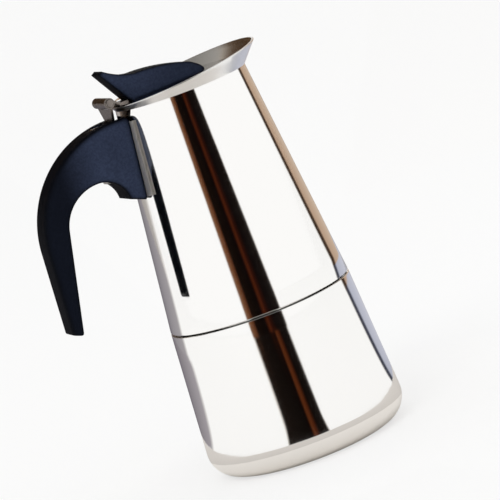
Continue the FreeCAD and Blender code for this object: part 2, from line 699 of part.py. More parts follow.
def handle_bracket():
    """Saddle welded on the collector, with the lug that the handle slides on to."""
    body = new_body("handle_bracket")
    low, high = [f"({collector_radius(height)} + weld_gap)" for height in (SADDLE_LOW, SADDLE_HIGH)]
    revolve(body, [
        (f"-{low}", SADDLE_LOW), (f"-{low} - saddle_sheet", SADDLE_LOW),
        (f"-{high} - saddle_sheet", SADDLE_HIGH), (f"-{high}", SADDLE_HIGH)], angle="saddle_angle")
    lug = new_sketch(body)
    root = [f"-{collector_radius(height)} - weld_gap - saddle_sheet / 2" for height in (LUG_LOW, LUG_HIGH)]
    add_outline(lug, [
        (root[0], LUG_LOW), (f"-{LUG_END}", LUG_LOW), (f"-{LUG_END}", LUG_HIGH), (root[1], LUG_HIGH)])
    extrude(lug, "lug_width")
    hole = new_sketch(body, "XY_Plane", LUG_HIGH)
    add_circle(hole, f"-{SCREW_OUT}", "0", "screw_radius + screw_fit")
    cut(hole, "lug_depth", both=False)
    return body


def handle_outline():
    """Side outline of the handle: flat top, outer bend, free end, finger arch and sloping foot."""
    bend_x = f"({SHOULDER} + handle_bend * cos(handle_lean))"
    bend_z = f"({HANDLE_TOP} - handle_bend + handle_bend * sin(handle_lean))"
    arch_x = f"({ARCH_OUT} + arch_outer * cos(grip_lean))"
    arch_z = f"({ARCH_TOP} - arch_outer + arch_outer * sin(grip_lean))"
    inner_end = f"({HANDLE_END} - handle_end_skew)"
    foot_x = f"({ARCH_OUT} - arch_inner)"
    return [
        (f"-{HANDLE_ROOT}", HANDLE_TOP), (f"-{SHOULDER}", HANDLE_TOP, "handle_bend"), (f"-{bend_x}", bend_z),
        (f"-{bend_x} - ({bend_z} - {HANDLE_END}) * tan(handle_lean)", HANDLE_END),
        (f"-{arch_x} - ({arch_z} - {inner_end}) * tan(grip_lean)", inner_end),
        (f"-{arch_x}", arch_z, "-arch_outer"), (f"-{ARCH_OUT}", ARCH_TOP, "-arch_inner"),
        (f"-{foot_x}", ARCH_SPRING),
        (f"-{HANDLE_ROOT}", f"{ARCH_SPRING} - ({foot_x} - {HANDLE_ROOT}) * tan(foot_slope)")]


def handle():
    """Moulded handle, narrower to its free end, hollowed for its bracket and the hinge plate."""
    body = new_body("handle")
    side = new_sketch(body)
    add_outline(side, handle_outline())
    extrude(side, "handle_width_body")
    far = f"({SHOULDER} + handle_bend + arch_inner)"
    near = f"({HANDLE_ROOT} - wall)"
    taper = new_sketch(body, "XY_Plane")
    for sign in ("", "-"):
        add_outline(taper, [
            (f"-{near}", f"{sign}handle_width_body / 2"), (f"-{far}", f"{sign}handle_width_end / 2"),
            (f"-{far}", f"{sign}handle_width_body"), (f"-{near}", f"{sign}handle_width_body")])
    cut(taper, f"2 * {HANDLE_TOP}")
    gap = FreeCAD.Vector(-number(ARCH_OUT), 0, number(ARCH_SPRING))

    def is_side(face):
        return abs(face_middle(face)[1].y) > ALONG

    def is_root(face):
        return face_middle(face)[0].x > -number(f"{HANDLE_ROOT} + wall")

    def is_end(face):
        return face_middle(face)[0].z < number(HANDLE_END)

    def turned(face, away):
        place, normal = face_middle(face)
        if is_side(face) or is_root(face) or is_end(face):
            return False
        return ((place - gap).dot(normal) > 0) == away

    fillet(body, edges_between(body, is_side, lambda face: turned(face, True)), "handle_round")
    fillet(body, edges_between(body, is_side, lambda face: turned(face, False)), "handle_ease")
    fillet(body, edges_between(
        body, lambda face: is_end(face) and face_middle(face)[1].z < -ALONG, lambda face: True),
        "handle_end_round")
    clear = "weld_gap - saddle_sheet - handle_gap"
    low, high = f"({ARCH_SPRING} - arch_outer)", f"({HANDLE_TOP} + wall)"
    groove(body, [
        ("0", low), (f"-{collector_radius(low)} - {clear}", low),
        (f"-{collector_radius(high)} - {clear}", high), ("0", high)])
    lug = new_sketch(body)
    lug_end = f"-{LUG_END} - handle_gap"
    lug_low, lug_high = f"{LUG_LOW} - handle_gap", f"{LUG_HIGH} + handle_gap"
    add_outline(lug, [
        ("-throat_radius", lug_low), (lug_end, lug_low), (lug_end, lug_high), ("-throat_radius", lug_high)])
    cut(lug, "lug_width + 2 * handle_gap")
    slot = new_sketch(body)
    slot_end = f"-{HINGE_OUT} - tab_sheet / 2 - handle_gap"
    add_outline(slot, [
        ("-throat_radius", LUG_HIGH), (slot_end, LUG_HIGH), (slot_end, high), ("-throat_radius", high)])
    cut(slot, "tab_width + 2 * handle_gap")
    sink = new_sketch(body, "XY_Plane", HANDLE_TOP)
    add_circle(sink, f"-{SCREW_OUT}", "0", "screw_head + handle_gap")
    cut(sink, "screw_sink + screw_head_depth", both=False)
    shank = new_sketch(body, "XY_Plane", HANDLE_TOP)
    add_circle(shank, f"-{SCREW_OUT}", "0", "screw_radius + handle_gap")
    cut(shank, "lug_drop", both=False)
    return body


def handle_screw():
    """Screw through the handle's top into the bracket's lug."""
    body = new_body("handle_screw")
    revolve(body, [
        ("0", "-screw_length"), ("screw_radius", "-screw_length"), ("screw_radius", "0"),
        ("screw_head", "0"), ("screw_head", "screw_head_depth"), ("0", "screw_head_depth")])
    fillet(body, circle_edges(body, [("screw_head", "screw_head_depth")]), "screw_head_round")
    body.setExpression("Placement.Base.x", bound(f"-{SCREW_OUT}"))
    body.setExpression("Placement.Base.z", bound(SCREW_SEAT))
    doc.recompute()
    return body


def hinge_bracket():
    """Standing plate on the bracket's lug, rolled at its top into two knuckles."""
    body = new_body("hinge_bracket")
    plate = new_sketch(body, "YZ_Plane", f"-{HINGE_OUT}")
    wide, narrow = "barrel_length / 2", "tab_width / 2"
    shoulder = f"{HINGE} - knuckle_radius"
    add_outline(plate, [
        (f"-{narrow}", LUG_HIGH), (narrow, LUG_HIGH), (narrow, HANDLE_TOP), (wide, shoulder),
        (wide, HINGE), (f"-{wide}", HINGE), (f"-{wide}", shoulder), (f"-{narrow}", HANDLE_TOP)])
    extrude(plate, "tab_sheet")
    barrel = new_sketch(body)
    add_circle(barrel, f"-{HINGE_OUT}", HINGE, "knuckle_radius")
    extrude(barrel, "barrel_length")
    room = new_sketch(body)
    add_circle(room, f"-{HINGE_OUT}", HINGE, "knuckle_radius + leaf_gap")
    cut(room, "leaf_width + 2 * leaf_gap")
    bore = new_sketch(body)
    add_circle(bore, f"-{HINGE_OUT}", HINGE, "pin_radius + pin_fit")
    cut(bore, "2 * barrel_length")
    return body


def hinge_pin():
    """Pin through all the knuckles, with a low riveted head at each end."""
    body = new_body("hinge_pin")
    shank = new_sketch(body)
    add_circle(shank, f"-{HINGE_OUT}", HINGE, "pin_radius")
    length = "(barrel_length + 2 * pin_fit)"
    extrude(shank, length)
    for sign in ("", "-"):
        head = new_sketch(body, "XZ_Plane", f"{sign}{length} / 2")
        add_circle(head, f"-{HINGE_OUT}", HINGE, "pin_head")
        extrude(head, "pin_head_depth", both=False, backwards=sign == "-")
    end = number(f"{length} / 2 + pin_head_depth")
    fillet(body, edges_between(
        body, lambda face: abs(abs(face_middle(face)[0].y) - end) < TOUCH,
        lambda face: abs(face_middle(face)[1].y) < ALONG), "pin_head_round")
    return body


def lid_plate():
    """Steel disc inside the collar, cut straight at the pouring side."""
    body = new_body("lid_plate")
    low = f"({LID_TOP} - wall)"
    inside = f"{COLLAR_WALL} - lid_gap"
    revolve(body, [
        ("0", low), (f"{flare_radius(low)} - {inside}", low),
        (f"{flare_radius(LID_TOP)} - {inside}", LID_TOP), ("0", LID_TOP)])
    front = new_sketch(body, "XY_Plane")
    pour = "throat_radius - pour_cut"
    add_outline(front, [
        (pour, "-seam_radius"), ("seam_radius", "-seam_radius"),
        ("seam_radius", "seam_radius"), (pour, "seam_radius")])
    cut(front, f"2 * {LID_TOP}", both=False, backwards=True)
    holes = new_sketch(body, "XY_Plane")
    for place in KNOB_SCREWS:
        add_circle(holes, place, "0", "knob_screw + screw_fit")
    cut(holes, f"2 * {LID_TOP}", both=False, backwards=True)
    return body


def lid_hinge_leaf():
    """Strip rolled round the pin, sloping down to the lid and flat under the knob."""
    body = new_body("lid_hinge_leaf")
    thick = "wall"
    side = new_sketch(body)
    inner = f"(knuckle_radius - {thick})"
    chord = f"sqrt(knuckle_radius * knuckle_radius - {inner} * {inner})"
    bend_top = f"(knuckle_radius * cos(leaf_slope) + hinge_rise - {thick}) / tan(leaf_slope)"
    bend_low = f"({inner} * cos(leaf_slope) + hinge_rise) / tan(leaf_slope)"
    add_outline(side, [
        (f"-{HINGE_OUT} + knuckle_radius * sin(leaf_slope)", f"{HINGE} + knuckle_radius * cos(leaf_slope)"),
        (f"-{HINGE_OUT} + knuckle_radius * sin(leaf_slope) + {bend_top}", f"{LID_TOP} + {thick}"),
        (LEAF_END, f"{LID_TOP} + {thick}"), (LEAF_END, LID_TOP),
        (f"-{HINGE_OUT} + {inner} * sin(leaf_slope) + {bend_low}", LID_TOP),
        (f"-{HINGE_OUT} + {inner} * sin(leaf_slope) + {chord} * cos(leaf_slope)",
         f"{HINGE} + {inner} * cos(leaf_slope) - {chord} * sin(leaf_slope)", "-knuckle_radius"),
        (f"-{HINGE_OUT}", f"{HINGE} - knuckle_radius", "-knuckle_radius"),
        (f"-{HINGE_OUT} - knuckle_radius", HINGE, "-knuckle_radius")])
    add_circle(side, f"-{HINGE_OUT}", HINGE, "pin_radius + pin_fit")
    extrude(side, "leaf_width")
    holes = new_sketch(body, "XY_Plane")
    for place in KNOB_SCREWS:
        add_circle(holes, place, "0", "knob_screw + screw_fit")
    cut(holes, f"2 * {LID_TOP}", both=False, backwards=True)
    return body


def lid_grip():
    """Moulded knob: thumb tail over the hinge, long crown and a low rounded nose."""
    body = new_body("lid_grip")
    foot = f"({LID_TOP} + knob_gap)"
    side = new_sketch(body)
    add_outline(side, [
        (f"knob_back - {HINGE_OUT}", foot), (f"{KNOB_NOSE} - knob_nose_lean", foot),
        (KNOB_NOSE, f"{LID_TOP} + knob_nose_rise", "knob_nose_radius"),
        (f"{KNOB_NOSE} - knob_brow", f"{LID_TOP} + knob_brow_rise", "knob_crown"),
        (f"knob_waist - {HINGE_OUT}", f"{LID_TOP} + knob_waist_rise", "-knob_hollow"),
        (f"-{KNOB_TAIL} + knob_tail_depth", f"{LID_TOP} + knob_tail_rise + knob_tail_depth / 2"),
        (f"-{KNOB_TAIL}", f"{LID_TOP} + knob_tail_rise")])
    extrude(side, "seam_radius")
    sides = new_sketch(body, "XY_Plane")
    back, front = f"-{KNOB_TAIL} - wall", f"{KNOB_NOSE} + wall"
    for sign, bow in (("", "-knob_side"), ("-", "knob_side")):
        add_outline(sides, [
            (back, f"{sign}knob_tail_half", bow), (front, f"{sign}knob_nose_half"),
            (front, f"{sign}seam_radius"), (back, f"{sign}seam_radius")])
    cut(sides, f"4 * {LID_TOP}")

    def is_side(face):
        return abs(face_middle(face)[1].y) > ALONG

    def is_under(face):
        return face_middle(face)[1].z < -ALONG

    fillet(body, edges_between(
        body, is_side, lambda face: not is_side(face) and not is_under(face)), "knob_round")
    recess = new_sketch(body)
    top = f"{LID_TOP} + wall + knob_gap"
    add_outline(recess, [
        (f"-{KNOB_TAIL}", f"{LID_TOP} - wall"), (f"{LEAF_END} + leaf_gap", f"{LID_TOP} - wall"),
        (f"{LEAF_END} + leaf_gap", top), (f"-{KNOB_TAIL}", top)])
    cut(recess, "leaf_width + 2 * leaf_gap")
    holes = new_sketch(body, "XY_Plane", LID_TOP)
    for place in KNOB_SCREWS:
        add_circle(holes, place, "0", "knob_screw + screw_fit")
    cut(holes, "knob_screw_length + knob_screw_head_depth - wall", both=False, backwards=True)
    return body


def lid_grip_screws():
    """Two screws from under the lid, through plate and leaf into the knob."""
    body = new_body("lid_grip_screws")
    body.AllowCompound = True
    low = f"({LID_TOP} - wall - knob_screw_head_depth)"
    first = new_sketch(body, "XY_Plane", low)
    second = new_sketch(body, "XY_Plane", low)
    for place in KNOB_SCREWS:
        add_circle(first, place, "0", "knob_screw_head")
        add_circle(second, place, "0", "knob_screw")
    extrude(first, "knob_screw_head_depth", both=False)
    extrude(second, "knob_screw_head_depth + knob_screw_length", both=False)
    return body


PIECES = (
    boiler_shell, valve_body, valve_seal, valve_nut, valve_plunger, valve_spring,
    funnel_basket, funnel_strainer, funnel_stem, gasket, filter_plate,
    collector_shell, pour_collar, thread_ring, collector_floor, riser_tube, riser_cap,
    handle_bracket, handle, handle_screw, hinge_bracket, hinge_pin,
    lid_plate, lid_hinge_leaf, lid_grip, lid_grip_screws)


def main():
    """Build every piece, make sure that each is sound, and write its file."""
    bodies = [piece() for piece in PIECES]
    doc.recompute()
    for item in doc.Objects:
        if "Invalid" in item.State or "Error" in item.State:
            raise RuntimeError(f"{item.Label} failed: {item.State}")
    for body in bodies:
        if body.Shape.isNull() or not body.Shape.isValid():
            raise RuntimeError(f"{body.Label} is not a sound solid")
    os.makedirs("parts", exist_ok=True)
    for body in bodies:
        body.Shape.exportStep(os.path.join("parts", f"{body.Label}.step"))
        print(f"{body.Label}: {len(body.Shape.Solids)} solid, {body.Shape.Volume / 1000:.2f} cm3")


main()
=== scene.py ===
"""Looks of a stovetop coffee pot: mirror-polished steel, black bakelite, brass valve and a pale studio."""

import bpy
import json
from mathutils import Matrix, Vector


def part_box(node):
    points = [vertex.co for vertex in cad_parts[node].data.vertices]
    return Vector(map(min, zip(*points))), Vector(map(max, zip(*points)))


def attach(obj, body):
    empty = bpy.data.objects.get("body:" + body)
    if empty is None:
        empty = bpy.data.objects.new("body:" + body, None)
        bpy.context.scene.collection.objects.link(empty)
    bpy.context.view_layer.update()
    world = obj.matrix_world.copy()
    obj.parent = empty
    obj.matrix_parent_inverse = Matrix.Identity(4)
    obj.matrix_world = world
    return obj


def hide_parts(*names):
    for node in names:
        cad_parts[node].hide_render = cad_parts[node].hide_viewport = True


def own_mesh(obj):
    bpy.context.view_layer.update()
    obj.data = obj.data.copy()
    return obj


bl_info = {
    "name": "Stovetop Coffee Pot",
    "version": (1, 0, 0),
    "blender": (4, 5, 0),
    "location": "3D View > Sidebar > Coffee Pot",
    "description": "Finishes the pieces of a steel stovetop coffee pot and sets its stage",
    "category": "Object",
}

import json
import math

import bmesh
import bpy
from mathutils import Matrix, Vector

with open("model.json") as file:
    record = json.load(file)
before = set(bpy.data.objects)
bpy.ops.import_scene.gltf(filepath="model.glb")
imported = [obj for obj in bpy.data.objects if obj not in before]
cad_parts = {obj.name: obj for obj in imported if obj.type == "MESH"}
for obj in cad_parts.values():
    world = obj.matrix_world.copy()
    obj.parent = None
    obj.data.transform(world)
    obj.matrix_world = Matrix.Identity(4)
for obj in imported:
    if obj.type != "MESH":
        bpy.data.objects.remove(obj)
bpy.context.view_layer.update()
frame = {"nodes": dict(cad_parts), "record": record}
RECORD = frame["record"]
BODY_OF = {node: body for body, nodes in RECORD["behaviour"]["bodies"].items() for node in nodes}
# Height of a mat over the floor, steps along a card, height of the ceiling, and the sine of the angle over
# the horizon from which the ceiling dims.
MAT_RISE = 0.0004
CARD_STEPS = 24
CEILING_HEIGHT = 3.2
CEILING_FROM = 0.25
# Points nearer than this are one, and an edge that turns by more than this stays sharp.
JOIN_DISTANCE = 1e-6
SHARP_ANGLE = math.radians(28.0)
# Least and most roughness in the grain of each finish.
MIRROR_ROUGHNESS = (0.035, 0.10)
SATIN_ROUGHNESS = (0.16, 0.30)
BLASTED_ROUGHNESS = (0.40, 0.52)
TUMBLED_ROUGHNESS = (0.22, 0.36)
BUFFED_ROUGHNESS = (0.26, 0.38)
BRASS_ROUGHNESS = (0.20, 0.34)
SILICONE_ROUGHNESS = (0.55, 0.75)
# Bakelite: roughness of its edges and of its sides, its sheen, and how much of the paler tone, which is
# painted light, is left along the grip, in the clouds and in the grain.
BAKELITE_ROUGHNESS = (0.58, 0.50)
BAKELITE_SHEEN = 0.03
GRIP_PAINTED_LIGHT = 0.12
CLOUD_TONE = (0.7, 1.0)
GRAIN_TONE = (0.80, 1.08)
# Part of a screw head's radius that its cross reaches, and the gap from the seal to the thread ring.
CROSS_SHARE = 0.6
GASKET_INSET = 0.0004
# Where the knob's nose starts to fall, and how much of its height it loses at the tip.
NOSE_FROM = 0.006
NOSE_DROOP = 0.45
# Where the knob's tail starts, and what share of its length is kept.
TAIL_FROM = -0.022
TAIL_LENGTH = 0.91
# Rounding that the shading gives to the moulded edges.
EDGE_ROUNDING = 0.0035
# Along X, where the painted shade on the handle's grip ends and where the painted light on its paler root
# starts.
SHADED_GRIP_END = -0.072
LIT_ROOT_START = -0.052

POLISHED_NODES = ("boiler_shell", "collector_shell", "lid_plate")
SHEET_NODES = (
    "collector_floor", "riser_tube", "riser_cap", "thread_ring", "funnel_basket", "funnel_strainer",
    "funnel_stem", "filter_plate")
HINGE_NODES = ("hinge_bracket", "hinge_pin", "lid_hinge_leaf")
BRASS_NODES = ("valve_body", "valve_nut", "valve_plunger")
SILICONE_NODES = ("gasket", "valve_seal")
# Colours across the tan card at the right and the mat before it.
TAN_COLOURS = (
    (0.00, "#e6e2dd"), (0.05, "#3a2c22"), (0.14, "#463528"), (0.21, "#bb9f88"), (0.80, "#cdb9a6"),
    (1.00, "#8c7462"))
# Cards that only reflections show: name, from and to angle in degrees, near and far reach, foot and top in
# metres, and colours across it from 0 to 1.
CARDS = (
    ("front_card", -22.0, 21.0, 2.4, 2.4, MAT_RISE, 3.0, (
        (0.00, "#d8d0c6"), (0.03, "#7a5238"), (0.13, "#623a24"), (0.19, "#150c08"), (0.46, "#0c0807"),
        (0.54, "#4a1f0e"), (0.60, "#2a110a"), (0.70, "#0e0a0a"), (0.97, "#18120f"), (1.00, "#cfc8c0"))),
    ("front_mat", -21.5, 20.0, 0.14, 2.4, MAT_RISE, MAT_RISE, (
        (0.00, "#d2ccc4"), (0.04, "#17110e"), (0.60, "#0a0706"), (0.65, "#5a2c14"), (0.72, "#3c1b0c"),
        (0.77, "#0c0807"), (0.96, "#15100d"), (1.00, "#cfc8c0"))),
    ("left_card", -174.0, -121.0, 2.6, 2.6, MAT_RISE, 3.0, (
        (0.00, "#6f6866"), (0.45, "#a29c99"), (0.85, "#b5b0ac"), (1.00, "#efeeec"))),
    ("back_card", -178.0, -112.0, 2.5, 2.5, 0.30, 3.0, (
        (0.00, "#5e4936"), (0.40, "#463526"), (0.75, "#5d4a39"), (1.00, "#cfc7bd"))),
    ("left_mat", -174.0, -121.0, 0.60, 2.6, MAT_RISE, MAT_RISE, (
        (0.00, "#6d6a70"), (0.55, "#938f94"), (0.90, "#a19da1"), (1.00, "#efeeec"))),
    ("left_near_mat", -174.0, -116.0, 0.14, 0.60, MAT_RISE, MAT_RISE, (
        (0.00, "#66616a"), (0.55, "#8d888d"), (0.90, "#a09ba0"), (1.00, "#efeeec"))),
    ("right_card", 120.0, 174.0, 2.6, 2.6, MAT_RISE, 3.0, TAN_COLOURS),
    ("right_mat", 120.0, 174.0, 0.75, 2.6, MAT_RISE, MAT_RISE, TAN_COLOURS),
    ("near_mat", 120.0, 174.0, 0.14, 0.75, MAT_RISE, MAT_RISE, (
        (0.00, "#e6e4e2"), (0.05, "#3b3d49"), (0.13, "#474955"), (0.20, "#b6b9c8"), (0.70, "#c6c8d4"),
        (1.00, "#a39d9a"))),
    # painted shadow: pale grey rings on the floor round the base, seen only in reflections, stand for the
    # pot's shadow there
    ("base_shadow_ring", -180.0, 180.0, 0.030, 0.064, MAT_RISE, MAT_RISE, ((0.00, "#f2eee9"), (1.00, "#f2eee9"))),
    ("skirt_shadow_ring", -180.0, 180.0, 0.064, 0.14, MAT_RISE, MAT_RISE, ((0.00, "#d9d4cf"), (1.00, "#d9d4cf"))),
)


# Settings that a user would change.

class PotFinishes(bpy.types.PropertyGroup):
    """Colours of the pot's materials, as sRGB hex values."""
    steel: bpy.props.StringProperty(
        name="Steel", description="Polished stainless steel", default="#fbfaf8")
    satin: bpy.props.StringProperty(
        name="Satin steel", description="Satin stainless steel", default="#dcd7d0")
    bakelite: bpy.props.StringProperty(name="Bakelite", description="Black phenolic", default="#06080f")
    # Paler tone painted on the bakelite as light, on its sides that face along Y and at the handle's root
    bloom: bpy.props.StringProperty(
        name="Bakelite sides", description="Paler matt sides of it", default="#31394e")
    blasted: bpy.props.StringProperty(name="Blasted steel", description="Matt bracket", default="#e4e0da")
    # Painted shade: the hinge pieces are darker to stand for the shadow under the lid's hinge
    hinge: bpy.props.StringProperty(
        name="Hinge steel", description="Darker tumbled hinge", default="#8b837d")
    brass: bpy.props.StringProperty(
        name="Brass", description="Turned brass of the valve", default="#c9a45c")
    silicone: bpy.props.StringProperty(
        name="Silicone", description="White silicone seal", default="#e2dfd8")


class PotSizes(bpy.types.PropertyGroup):
    """Sizes of the thread and of the screws' crosses, which are added here to the pot's solids."""
    thread_pitch: bpy.props.FloatProperty(
        name="Thread pitch", description="Rise of the thread in one turn", default=0.004, unit="LENGTH")
    thread_turns: bpy.props.FloatProperty(
        name="Thread turns", description="Turns of each ridge", default=2.0)
    neck_ridge: bpy.props.FloatProperty(
        name="Neck ridge", description="Height of the rolled ridge on the neck",
        default=0.0007, unit="LENGTH")
    ring_ridge: bpy.props.FloatProperty(
        name="Ring ridge", description="Height of the rolled ridge in the ring",
        default=0.0006, unit="LENGTH")
    ridge_start: bpy.props.FloatProperty(
        name="Ridge start", description="First ridge above the thread ring's lower end", default=0.0003,
        unit="LENGTH")
    cross_width: bpy.props.FloatProperty(
        name="Cross width", description="Arms of the cross in a screw's head",
        default=0.0009, unit="LENGTH")
    cross_depth: bpy.props.FloatProperty(
        name="Cross depth", description="Depth of that cross", default=0.0011, unit="LENGTH")


class PotStage(bpy.types.PropertyGroup):
    """Camera, floor and light, fitted to the photograph's view."""
    aim_height: bpy.props.FloatProperty(
        name="Aim", description="Height that the camera looks at", default=0.096, unit="LENGTH")
    distance: bpy.props.FloatProperty(
        name="Distance", description="Camera from its aim", default=1.728, unit="LENGTH")
    azimuth: bpy.props.FloatProperty(
        name="Azimuth", description="Camera round the pot", default=math.radians(-15.0), subtype="ANGLE")
    elevation: bpy.props.FloatProperty(
        name="Elevation", description="Camera above the horizon",
        default=math.radians(8.2), subtype="ANGLE")
    roll: bpy.props.FloatProperty(
        name="Roll", description="Lean of the pot in the picture",
        default=math.radians(20.39), subtype="ANGLE")
    focal_length: bpy.props.FloatProperty(
        name="Focal length", description="In millimetres", default=268.0)
    shift: bpy.props.FloatVectorProperty(
        name="Shift", description="Framing, in picture widths", size=2, default=(0.0162, 0.0078))
    floor_size: bpy.props.FloatProperty(
        name="Floor", description="Side of the floor", default=40.0, unit="LENGTH")
    floor: bpy.props.StringProperty(name="Floor colour", description="Pale floor", default="#fafaf9")
    floor_white: bpy.props.FloatProperty(
        name="Floor white", description="Share of plain white in the floor that is seen", default=0.6)
    fill: bpy.props.FloatProperty(name="Fill", description="Even light from all round", default=0.90)
    ceiling: bpy.props.FloatProperty(
        name="Ceiling", description="Light of the ceiling in reflections", default=0.25)
    key_power: bpy.props.FloatProperty(
        name="Key", description="Power of the soft lamp in watts", default=60.0)
    key_size: bpy.props.FloatProperty(
        name="Key size", description="Side of the soft lamp", default=2.4, unit="LENGTH")
    key_place: bpy.props.FloatVectorProperty(
        name="Key place", description="Middle of the soft lamp", default=(-2.6, -3.2, 4.8), subtype="XYZ")


# Small helpers.

def linear(text):
    """An sRGB hex value as a linear colour with alpha."""
    channels = [int(text[index:index + 2], 16) / 255 for index in (1, 3, 5)]
    return tuple(c / 12.92 if c <= 0.04045 else ((c + 0.055) / 1.055) ** 2.4 for c in channels) + (1.0,)


def add_node(tree, kind, settings=None, inputs=None, links=None):
    """Add a node: its settings, its plain input values and its links, by input name or number."""
    node = tree.nodes.new(kind)
    for name, value in (settings or {}).items():
        setattr(node, name, value)
    for name, value in (inputs or {}).items():
        node.inputs[name].default_value = value
    for name, socket in (links or {}).items():
        tree.links.new(socket, node.inputs[name])
    return node


def to_range(ends):
    """The two ends that a range node maps its value to."""
    return {"To Min": ends[0], "To Max": ends[1]}


def new_material(name):
    """An empty node material and its tree."""
    material = bpy.data.materials.new(name)
    material.use_nodes = True
    material.node_tree.nodes.clear()
    return material, material.node_tree


def finish_material(tree, shader, normal=None):
    """Join a shader to the output, with a bump if there is one."""
    if normal is not None:
        tree.links.new(normal, shader.inputs["Normal"])
    add_node(tree, "ShaderNodeOutputMaterial", links={"Surface": shader.outputs["BSDF"]})


# Materials.

def polished_steel():
    """Stainless steel, spun and buffed to a mirror: sharp reflections with faint drawn-out buffing haze."""
    material, tree = new_material("polished_stainless_steel")
    place = add_node(tree, "ShaderNodeTexCoord")
    # buffing lines run round the pot, drawn about 0.7 mm apart so that they show
    stretch = add_node(
        tree, "ShaderNodeMapping", inputs={"Scale": (20.0, 20.0, 1500.0)},
        links={"Vector": place.outputs["Object"]})
    lines = add_node(
        tree, "ShaderNodeTexNoise", inputs={"Scale": 1.0, "Detail": 3.0},
        links={"Vector": stretch.outputs["Vector"]})
    rough = add_node(
        tree, "ShaderNodeMapRange", inputs=to_range(MIRROR_ROUGHNESS),
        links={"Value": lines.outputs["Fac"]})
    bump = add_node(
        tree, "ShaderNodeBump", inputs={"Strength": 0.012, "Distance": 0.0002},
        links={"Height": lines.outputs["Fac"]})
    shader = add_node(
        tree, "ShaderNodeBsdfPrincipled",
        inputs={"Base Color": linear(bpy.context.scene.pot_finishes.steel), "Metallic": 1.0},
        links={"Roughness": rough.outputs["Result"]})
    finish_material(tree, shader, bump.outputs["Normal"])
    return material


def satin_steel(name, colour, roughness):
    """Stainless steel with a fine grain: softer reflections than a mirror's."""
    material, tree = new_material(name)
    place = add_node(tree, "ShaderNodeTexCoord")
    # grain about 0.4 mm across
    grain = add_node(
        tree, "ShaderNodeTexNoise", inputs={"Scale": 2500.0, "Detail": 2.0},
        links={"Vector": place.outputs["Object"]})
    rough = add_node(
        tree, "ShaderNodeMapRange", inputs=to_range(roughness),
        links={"Value": grain.outputs["Fac"]})
    bump = add_node(
        tree, "ShaderNodeBump", inputs={"Strength": 0.03, "Distance": 0.0002},
        links={"Height": grain.outputs["Fac"]})
    shader = add_node(
        tree, "ShaderNodeBsdfPrincipled",
        inputs={"Base Color": linear(colour), "Metallic": 1.0},
        links={"Roughness": rough.outputs["Result"]})
    finish_material(tree, shader, bump.outputs["Normal"])
    return material


